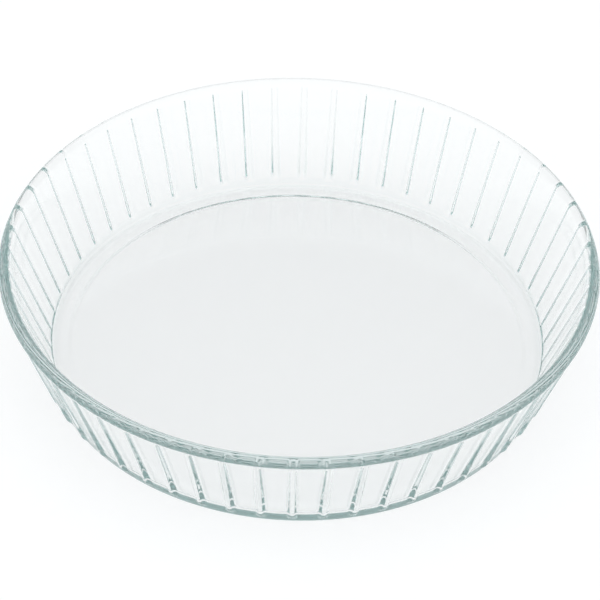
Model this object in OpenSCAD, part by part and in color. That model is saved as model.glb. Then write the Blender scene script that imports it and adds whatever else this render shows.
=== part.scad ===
// Round ribbed baking dish in clear pressed glass, one piece, open at the top.
// Origin at the centre of the base, +Z up through the opening.

/* [Rim] */
// Outer diameter of the rim
rim_d = 260; // [245:1:300]
// Thickness of the rolled rim, which is flush with the wall on the inside
bead_d = 5.4; // [5.2:0.1:7]
// Radius of the hollow where the rim meets the wall
neck_r = 1.2; // [0.8:0.1:2]

/* [Bowl] */
// Overall height
height = 52; // [40:0.5:70]
// Diameter at which the slanted wall reaches the table
base_d = 223; // [200:1:240]
// Thickness of the wall between the ribs
wall_t = 4.4; // [3.2:0.1:4.6]
// Thickness of the floor above the table
floor_t = 4; // [3:0.1:7]
// Radius of the outer corner at the base
corner_r = 2; // [1:0.1:3]
// Radius of the inner corner at the floor
inner_r = 5; // [4:0.5:12]

/* [Ribs] */
// Number of ribs round the wall
rib_count = 56; // [24:1:64]
// Width of one rib where it leaves the wall
rib_w = 4.6; // [2.5:0.1:5.5]
// Height of one rib above the wall
rib_h = 1; // [0.5:0.05:1.4]
// Distance from the table to the lower end of a rib
rib_foot = 3; // [2.6:0.1:8]

/* [Foot] */
// Width of the flat ring the dish stands on
foot_w = 8; // [5:0.5:16]
// Depth of the shallow recess inside that ring
recess_h = 0.6; // [0.3:0.1:1]

/* [Hidden] */

ring_fn = 112;
arc_fn = 28;

// How far an arc passes the line it blends into, so that the two cross cleanly
lap = 0.01;

// Rim bead: its centre, and how far that centre is from the outer wall line
bead_r = bead_d / 2;
bead_x = rim_d / 2 - bead_r;
bead_z = height - bead_r;
bead_out = bead_r - wall_t - lap;
base_x = base_d / 2;

// Lean of the wall from the vertical, for which its inner face runs into the bead
run = bead_x - base_x;
tilt = acos(bead_out / norm([run, bead_z])) - atan2(bead_z, run);
st = sin(tilt);
ct = cos(tilt);
bead_up = run * st + bead_z * ct;

// Point at a distance up the outer wall line and a distance out from it
function at(up, out) = [base_x + up * st + out * ct, up * ct - out * st];

// Outer corner: runs into the table plane and the outer wall line
corner_up = corner_r * (1 - st) / ct;
corner_c = at(corner_up, -corner_r);

// Inner corner: runs into the floor and the inner wall line
inner_up = (floor_t + inner_r - (wall_t + inner_r) * st) / ct;
inner_c = at(inner_up, -wall_t - inner_r);

// Hollow under the rim: runs into the bead and the outer wall line
neck_up = bead_up - sqrt(pow(bead_r + neck_r, 2) - pow(bead_out - neck_r, 2));
neck_c = at(neck_up, neck_r);

// Rib: part of a round bar laid along the outer wall line, sunk a little into the wall
bar_r = (rib_w * rib_w / 4 + rib_h * rib_h) / (2 * rib_h);
rib_top = neck_up - 0.4;
rib_sunk = 1;

// Foot ring
foot_x = corner_c[0] - foot_w;
recess_run = 2;

module corner_tip() {
  difference() {
    polygon([corner_c, [corner_c[0], -1], [base_x + 1, -1], at(corner_up, 1)]);
    translate(corner_c) circle(r = corner_r + lap, $fn = arc_fn);
  }
}

module outer_shape() {
  difference() {
    polygon([
      [0, 0],
      [base_x, 0],
      at(neck_up, 0),
      neck_c,
      [bead_x, bead_z],
      at(bead_up, -wall_t),
      [0, at(bead_up, -wall_t)[1]]
    ]);
    translate(neck_c) circle(r = neck_r + lap, $fn = arc_fn);
    corner_tip();
  }
}

module cavity_shape() {
  polygon([
    [-1, floor_t],
    [inner_c[0], floor_t],
    inner_c,
    at(inner_up, -wall_t),
    at(bead_up, -wall_t),
    at(bead_up + 5, -wall_t - 5),
    [-1, height + 5]
  ]);
  translate(inner_c) circle(r = inner_r + lap, $fn = arc_fn * 2);
}

module recess_shape() {
  polygon([
    [-1, -1],
    [foot_x + recess_run / recess_h, -1],
    [foot_x - recess_run, recess_h],
    [-1, recess_h]
  ]);
}

module half_section() {
  difference() {
    outer_shape();
    cavity_shape();
    recess_shape();
  }
  translate([bead_x, bead_z]) circle(r = bead_r, $fn = arc_fn);
}

module rib_shape() {
  intersection() {
    translate([rib_h - bar_r, 0]) circle(r = bar_r, $fn = arc_fn);
    translate([-rib_sunk, -rib_w]) square([rib_sunk + rib_h + 1, rib_w * 2]);
  }
}

module rib() {
  translate([base_x, 0, 0])
    rotate([0, tilt, 0])
      translate([0, 0, rib_foot])
        linear_extrude(height = rib_top - rib_foot) rib_shape();
}

module ribs() {
  for (i = [0 : rib_count - 1])
    rotate([0, 0, -90 + i * 360 / rib_count])
      rib();
}

module dish() {
  color([0.80, 0.90, 0.88]) {
    rotate_extrude($fn = ring_fn) half_section();
    ribs();
  }
}

dish();
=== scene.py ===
import math

import bmesh
import bpy
from mathutils import Matrix, Vector


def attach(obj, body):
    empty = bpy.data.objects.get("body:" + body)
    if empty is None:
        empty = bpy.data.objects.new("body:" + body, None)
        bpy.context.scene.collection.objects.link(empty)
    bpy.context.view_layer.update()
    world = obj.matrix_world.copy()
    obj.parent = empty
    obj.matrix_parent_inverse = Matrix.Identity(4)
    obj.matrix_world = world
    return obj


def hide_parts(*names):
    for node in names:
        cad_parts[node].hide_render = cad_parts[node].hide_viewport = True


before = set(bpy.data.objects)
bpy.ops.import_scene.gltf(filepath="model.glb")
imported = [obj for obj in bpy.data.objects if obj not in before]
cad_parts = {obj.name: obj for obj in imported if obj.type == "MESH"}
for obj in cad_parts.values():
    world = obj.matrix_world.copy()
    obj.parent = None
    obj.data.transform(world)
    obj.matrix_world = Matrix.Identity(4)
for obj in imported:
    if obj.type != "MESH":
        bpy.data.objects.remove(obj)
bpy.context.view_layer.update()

mm = 0.001


# Small helpers

def hexToLinear(code):
    channels = [int(code[i:i + 2], 16) / 255 for i in (1, 3, 5)]  # sRGB, 0 to 1
    linear = [c / 12.92 if c <= 0.04045 else ((c + 0.055) / 1.055) ** 2.4 for c in channels]
    return (*linear, 1.0)


def addNode(tree, kind, settings=None, links=None):
    # settings: property or input name to value; links: input name to an output socket
    node = tree.nodes.new(kind)
    for name, value in (settings or {}).items():
        if name in node.inputs:
            node.inputs[name].default_value = value
        else:
            setattr(node, name, value)
    for name, socket in (links or {}).items():
        tree.links.new(socket, node.inputs[name])
    return node


def newMaterial(name):
    material = bpy.data.materials.new(name)
    material.use_nodes = True
    material.node_tree.nodes.clear()
    return material, material.node_tree


def smoothStep(low, high, x):
    t = min(max((x - low) / (high - low), 0), 1)
    return t * t * (3 - 2 * t)


# The dish, sizes in millimetres

dishSizes = {
    "rimDiameter": 260,
    "beadThickness": 5.4,  # the rolled rim, flush with the wall on the inside
    "neckRadius": 1.2,
    "height": 52,
    "baseDiameter": 223,
    "wall": 4.4,
    "floor": 4,
    "baseCorner": 2,
    "innerCorner": 5,
    "ribs": 56,
    "ribCrest": 0.6,  # half width of a rib's top
    "ribFlank": [2.2, 1.15],  # width of a rib's flank at the base and at the rim
    "ribSteep": 0.62,  # rise of a flank to its width
    "ribSoft": 0.2,  # share of a flank that is rounded at its top and at its foot
    "ribFoot": [2.5, 7],  # heights over which a rib comes out of the wall at the base
    "footWidth": 8,
    "recess": 0.6,
    "recessRun": 2,
}

# Where the mesh has its rows: steps along the arcs, and distances in millimetres
meshRows = {
    "cornerSteps": 6,
    "neckSteps": 8,
    "beadSteps": 30,
    "innerSteps": 16,
    "ribFootSteps": 5,
    "upWall": [10, 20, 30],
    "underNeck": [5, 3, 2, 1.3, 0.7],
    "underRim": [0, 0.5, 3],
    "midWall": 25,
    "overCorner": [3, 0.5],
    "overFloor": [0.5, 3, 20, 50],
    "underRecess": [40, 2, 0.3],
    "recessEase": [0.25, 0.06],  # run and height of the soft edges of the recess
    "footRows": [0.3, 2, 1.5],
}

# Places of the mesh columns down one flank of a rib, as shares of its width
flankPlaces = [-0.1, 0.1, 0.3, 0.7, 0.9, 1.1]


def dishSection(d, m):
    # The half section as rows of (radius, height, how far up the wall line, distance out from it).
    # Only rows with a wall place carry ribs, the others have None there.
    beadR = d["beadThickness"] / 2
    beadX = d["rimDiameter"] / 2 - beadR
    beadZ = d["height"] - beadR
    baseX = d["baseDiameter"] / 2
    beadOut = beadR - d["wall"]
    run = beadX - baseX
    tilt = math.acos(beadOut / math.hypot(run, beadZ)) - math.atan2(beadZ, run)
    st, ct = math.sin(tilt), math.cos(tilt)
    beadUp = run * st + beadZ * ct

    def at(up, out):
        return (baseX + up * st + out * ct, up * ct - out * st)

    def wallRow(x, z):
        return (x, z, (x - baseX) * st + z * ct, (x - baseX) * ct - z * st)

    def plainRow(x, z):
        return (x, z, None, None)

    def rimRow(x, z):
        # The rim's lower outer side takes the ribs' upper ends
        row = wallRow(x, z)
        return row if row[2] < beadUp and x > beadX else plainRow(x, z)

    def arc(centre, radius, start, end, steps, skipEnds=False):
        rows = []
        for i in range(steps + 1):
            if skipEnds and i in (0, steps):
                continue
            a = math.radians(start + (end - start) * i / steps)
            rows.append((centre[0] + radius * math.cos(a), centre[1] + radius * math.sin(a)))
        return rows

    lean = math.degrees(tilt)
    cornerR, innerR, neckR = d["baseCorner"], d["innerCorner"], d["neckRadius"]
    cornerUp = cornerR * (1 - st) / ct
    corner = at(cornerUp, -cornerR)
    innerUp = (d["floor"] + innerR - (d["wall"] + innerR) * st) / ct
    inner = at(innerUp, -d["wall"] - innerR)
    neckUp = beadUp - math.sqrt((beadR + neckR) ** 2 - (beadOut - neckR) ** 2)
    neck = at(neckUp, neckR)
    towards = math.degrees(math.atan2(beadZ - neck[1], beadX - neck[0]))

    footX = corner[0] - d["footWidth"]
    recessX = footX - d["recessRun"]
    easeRun, easeHeight = m["recessEase"]
    ringIn, ringMiddle, ringOut = m["footRows"]
    under = [(recessX - x, d["recess"]) for x in m["underRecess"]]
    under += [(recessX + easeRun, d["recess"] - easeHeight), (footX - easeRun, easeHeight)]
    under += [(footX + ringIn, 0), (footX + ringMiddle, 0), (corner[0] - ringOut, 0)]

    low, high = d["ribFoot"]
    steps = m["ribFootSteps"]
    ups = [low + (high - low) * i / steps for i in range(steps + 1)]
    ups += [high + 1] + m["upWall"] + [neckUp - x for x in m["underNeck"]]
    outside = arc(corner, cornerR, -90, -lean, m["cornerSteps"])
    outside += [at(up, 0) for up in ups]
    outside += arc(neck, neckR, 180 - lean, towards, m["neckSteps"])

    rim = arc((beadX, beadZ), beadR, towards - 180, 180 - lean, m["beadSteps"], True)

    downs = [beadUp - x for x in m["underRim"]] + [m["midWall"]]
    downs += [innerUp + x for x in m["overCorner"]]
    inside = [at(up, -d["wall"]) for up in downs]
    inside += arc(inner, innerR, -lean, -90, m["innerSteps"])
    inside += [(inner[0] - x, d["floor"]) for x in m["overFloor"]]

    rows = [plainRow(*place) for place in under]
    rows += [wallRow(*place) for place in outside]
    rows += [rimRow(*place) for place in rim]
    rows += [plainRow(*place) for place in inside]
    return rows, at, neckUp


def dishMesh(d, m):
    rows, at, neckUp = dishSection(d, m)
    count = d["ribs"]
    pitch = 2 * math.pi / count
    halfMiddle = d["baseDiameter"] / 2 + 6  # radius that the column places are measured at
    soft = d["ribSoft"]

    def flankWidth(up):
        low, high = d["ribFlank"]
        return low + (high - low) * min(max((up or 0) / neckUp, 0), 1)

    def flankShare(t):
        # 1 on the crest, 0 on the wall, straight between two roundings
        t = min(max(t, 0), 1)
        if t < soft:
            return 1 - t * t / (2 * soft * (1 - soft))
        if t > 1 - soft:
            return (1 - t) ** 2 / (2 * soft * (1 - soft))
        return 1 - (t - soft / 2) / (1 - soft)

    def ringAngles(up):
        steps = [(d["ribCrest"] + flankWidth(up) * t) / halfMiddle for t in flankPlaces]
        steps.append((steps[-1] + pitch / 2) / 2)
        return [-a for a in reversed(steps)] + [0] + steps + [pitch / 2]

    def ribOut(side, up, out):
        # Distance out from the wall line with the rib, which runs straight up into the rim
        height = d["ribSteep"] * flankWidth(up) * smoothStep(*d["ribFoot"], up)
        share = flankShare((abs(side) - d["ribCrest"]) / flankWidth(up))
        return out + share * max(height - max(out, 0), 0)

    bm = bmesh.new()
    loops = []
    for x, z, up, out in rows:
        loop = []
        angles = ringAngles(up)
        for g in range(count):
            for a in angles:
                px, pz = x, z
                if up is not None:
                    px, pz = at(up, ribOut(a * halfMiddle, up, out))
                phi = -math.pi / 2 + g * pitch + a
                place = (px * mm * math.cos(phi), px * mm * math.sin(phi), max(pz, 0) * mm)
                loop.append(bm.verts.new(place))
        loops.append(loop)
    n = len(loops[0])
    for low, high in zip(loops, loops[1:]):
        for i in range(n):
            j = (i + 1) % n
            bm.faces.new((low[i], low[j], high[j], high[i]))
    bm.faces.new(list(reversed(loops[0])))
    bm.faces.new(loops[-1])
    bm.normal_update()
    for face in bm.faces:
        face.smooth = True
    mesh = bpy.data.meshes.new("dishGlass")
    bm.to_mesh(mesh)
    bm.free()
    return mesh


dish = bpy.data.objects.new("dishGlass", dishMesh(dishSizes, meshRows))
bpy.context.scene.collection.objects.link(dish)
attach(dish, "root")
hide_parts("dish")
print("dish made:", len(dish.data.polygons), "faces")


# The glass

# Soda-lime oven glass, pressed in a mould and fire polished: clear and glossy, faintly green where
# the light runs a long way through it, with a slight ripple left by the mould on its flat faces.
glassLook = {
    "ior": 1.52,
    "roughness": 0.05,
    "tint": "#D0E1E0",  # what is left of white light after the depth below
    "tintDepth": 100,  # mm
    "rippleSize": 14,  # mm from one ripple to the next
    "rippleHeight": 0.004,  # mm
}


def pressedSodaLimeGlass(look):
    material, tree = newMaterial("pressedSodaLimeGlass")
    place = addNode(tree, "ShaderNodeTexCoord")
    ripple = addNode(
        tree, "ShaderNodeTexNoise",
        {"Scale": 1 / (look["rippleSize"] * mm), "Detail": 1.0, "Roughness": 0.4},
        {"Vector": place.outputs["Object"]},
    )
    bump = addNode(
        tree, "ShaderNodeBump",
        {"Strength": 1.0, "Distance": look["rippleHeight"] * mm},
        {"Height": ripple.outputs["Fac"]},
    )
    glass = addNode(
        tree, "ShaderNodeBsdfPrincipled",
        {
            "Base Color": (1, 1, 1, 1), "Roughness": look["roughness"],
            "IOR": look["ior"], "Transmission Weight": 1.0,
        },
        {"Normal": bump.outputs["Normal"]},
    )
    left = hexToLinear(look["tint"])[:3]
    loss = [-math.log(c) / (look["tintDepth"] * mm) for c in left]  # per metre
    density = max(loss) * 1.02  # a little over the largest loss, so that no colour is below 0
    body = addNode(
        tree, "ShaderNodeVolumeAbsorption",
        {"Color": (*[1 - v / density for v in loss], 1), "Density": density},
    )
    addNode(
        tree, "ShaderNodeOutputMaterial", None,
        {"Surface": glass.outputs[0], "Volume": body.outputs[0]},
    )
    return material


dish.data.materials.append(pressedSodaLimeGlass(glassLook))
print("glass made")


# Floor, light and camera

studio = {
    "floorSize": 6.0,  # metres
    "floorDrop": 0.0002,  # metres that the floor lies under the dish
    "floorColour": "#8E8E8E",
    "floorGlow": 0.78,
    "glowColour": "#FAFCFD",
    "skyTop": 1.3,
    "skyFront": 1.15,
    "skyRear": 0.3,
    "skyTurn": [-0.3, 0.5],  # Y of the directions where the front ends and the rear starts
    "skyRise": [0.6, 0.9],  # Z of the directions where the sides end and the top starts
}


def whiteFloor(s):
    mesh = bpy.data.meshes.new("studioFloor")
    h = s["floorSize"] / 2
    corners = [(-h, -h, 0), (h, -h, 0), (h, h, 0), (-h, h, 0)]
    mesh.from_pydata(corners, [], [(0, 1, 2, 3)])
    floor = bpy.data.objects.new("studioFloor", mesh)
    bpy.context.scene.collection.objects.link(floor)
    floor.location.z = -s["floorDrop"]
    material, tree = newMaterial("mattePaper")
    paper = addNode(tree, "ShaderNodeBsdfPrincipled", {
        "Base Color": hexToLinear(s["floorColour"]), "Roughness": 1.0, "Specular IOR Level": 0.0,
        "Emission Color": hexToLinear(s["glowColour"]), "Emission Strength": s["floorGlow"]})
    addNode(tree, "ShaderNodeOutputMaterial", None, {"Surface": paper.outputs[0]})
    mesh.materials.append(material)


def softLight(s):
    world = bpy.data.worlds.new("softStudio")
    bpy.context.scene.world = world
    world.use_nodes = True
    tree = world.node_tree
    tree.nodes.clear()
    place = addNode(tree, "ShaderNodeTexCoord")
    split = addNode(
        tree, "ShaderNodeSeparateXYZ", None, {"Vector": place.outputs["Generated"]})
    rear = addNode(
        tree, "ShaderNodeMapRange",
        {
            "From Min": s["skyTurn"][0], "From Max": s["skyTurn"][1],
            "To Min": s["skyFront"], "To Max": s["skyRear"], "interpolation_type": "SMOOTHSTEP",
        },
        {"Value": split.outputs["Y"]},
    )
    high = addNode(
        tree, "ShaderNodeMapRange",
        {
            "From Min": s["skyRise"][0], "From Max": s["skyRise"][1],
            "interpolation_type": "SMOOTHSTEP",
        },
        {"Value": split.outputs["Z"]},
    )
    mixed = addNode(
        tree, "ShaderNodeMix",
        {"data_type": "FLOAT", "B": s["skyTop"]},
        {"Factor": high.outputs[0], "A": rear.outputs[0]},
    )
    back = addNode(
        tree, "ShaderNodeBackground", {"Color": (1, 1, 1, 1)}, {"Strength": mixed.outputs[0]})
    addNode(tree, "ShaderNodeOutputWorld", None, {"Surface": back.outputs[0]})


photoView = {
    "lens": 146.89,  # mm, on a sensor of the width below
    "sensor": 36,
    "place": (0.75, -814.26, 731.18),  # mm
    "right": (0.99958, 0.01896, 0.02184),
    "back": (0, -0.75514, 0.65557),
    "clip": (0.05, 50),  # metres
}


def photoCamera(v):
    data = bpy.data.cameras.new("photoCamera")
    data.lens = v["lens"]
    data.sensor_width = v["sensor"]
    data.clip_start, data.clip_end = v["clip"]
    camera = bpy.data.objects.new("photoCamera", data)
    right = Vector(v["right"])
    back = Vector(v["back"])
    up = back.cross(right)
    turn = Matrix((right, up, back)).transposed()
    camera.matrix_world = Matrix.Translation(Vector(v["place"]) * mm) @ turn.to_4x4()
    bpy.context.scene.collection.objects.link(camera)
    bpy.context.scene.camera = camera


whiteFloor(studio)
softLight(studio)
photoCamera(photoView)

scene = bpy.context.scene
scene.view_settings.view_transform = "Standard"
bounces = 96  # light runs far round the rim inside the glass before it comes out
scene.cycles.max_bounces = bounces
scene.cycles.transmission_bounces = bounces
scene.cycles.glossy_bounces = bounces
scene.cycles.use_denoising = True
print("studio made")
